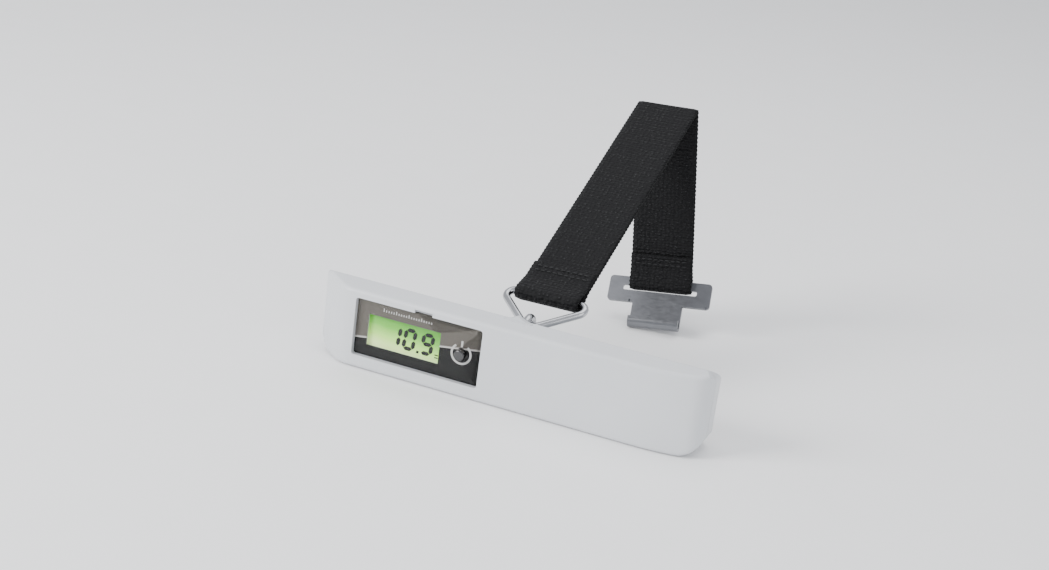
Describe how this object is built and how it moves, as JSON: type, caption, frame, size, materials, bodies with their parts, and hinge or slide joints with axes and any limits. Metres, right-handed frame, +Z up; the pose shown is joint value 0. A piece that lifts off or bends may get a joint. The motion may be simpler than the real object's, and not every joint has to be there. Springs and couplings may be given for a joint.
{
  "type": "digital luggage scale",
  "caption": "Hand-held digital luggage scale: load cell and lit display in a slim casing, hook and ring, webbing strap with a pressed steel clip.",
  "frame": {"origin": "middle of the casing's lower rest face, in the plane where the front and rear shells meet", "axes": "+X along the casing from the display end to the plain end, -Y out of the display, +Z up to the load hook"},
  "size_m": [0.15, 0.1311, 0.0917],
  "materials": {
    "casing": "satin light grey ABS",
    "window": "glossy tinted acrylic",
    "mask": "printed black film",
    "tape": "foam tape",
    "button": "glossy",
    "moulding": "white inner moulding",
    "switch": "black",
    "lcd": "lit display",
    "led": "clear resin",
    "rubber": "contact rubber",
    "board": "green solder mask",
    "resin": "black resin",
    "steel": "plated steel",
    "alloy": "machined",
    "gauge": "polyimide foil",
    "hook": "polished wire",
    "leads": "insulated wire bundle",
    "spring": "plated strip",
    "foam": "foam",
    "webbing": "coarse polyester weave",
    "clip": "satin pressed steel"
  },
  "bodies": {
    "casing": {"front_shell": "casing", "rear_shell": "casing", "display_window": "window", "window_mask": "mask", "window_tape": "tape", "switch_body": "switch", "lcd_cell": "lcd", "lcd_frame": "moulding", "light_guide": "moulding", "backlight_led": "led", "zebra_strips": "rubber", "circuit_board": "board", "controller_blob": "resin", "board_parts": "resin", "board_screws": "steel", "load_cell": "alloy", "strain_gauges": "gauge", "cell_screws": "steel", "load_hook": "hook", "hook_nut": "steel", "hook_washer": "steel", "gauge_leads": "leads", "battery_cell": "steel", "contact_plus": "spring", "contact_minus": "spring", "case_screws": "steel"},
    "button": {"power_button": "button", "switch_plunger": "switch"},
    "cover": {"battery_cover": "casing", "battery_pad": "foam"},
    "ring": {"triangle_ring": "hook"},
    "strap_low": {"strap_lower": "webbing"},
    "strap_up": {"strap_upper": "webbing"},
    "clip": {"strap_clip": "clip"}
  },
  "joints": [
    {"name": "power_press", "type": "slide", "parent": "casing", "child": "button", "axis": [0, 1, 0], "range_m": [0, 0.00035], "stiffness_N_per_m": 300},
    {"name": "cover_swing", "type": "hinge", "parent": "casing", "child": "cover", "pos_m": [-0.05, 0.0135, 0.0148], "axis": [0, 0, 1], "range_deg": [0, 70]},
    {"name": "ring_swing", "type": "hinge", "parent": "casing", "child": "ring", "pos_m": [0.003, 0.006, 0.0272], "axis": [0.994, -0.0957, 0.0523], "range_deg": [-30, 90]},
    {"name": "strap_on_ring", "type": "hinge", "parent": "ring", "child": "strap_low", "pos_m": [0.00403, 0.02072, 0.03458], "axis": [0.994, -0.0957, 0.0523], "range_deg": [-40, 80]},
    {"name": "strap_fold", "type": "hinge", "parent": "strap_low", "child": "strap_up", "pos_m": [0.01023, 0.11548, 0.09012], "axis": [0.994, -0.0957, 0.0523], "range_deg": [-30, 105]},
    {"name": "clip_swing", "type": "hinge", "parent": "strap_up", "child": "clip", "pos_m": [0.01867, 0.11725, 0.01671], "axis": [0.9888, 0.0943, 0.116], "range_deg": [-30, 95]}
  ]
}
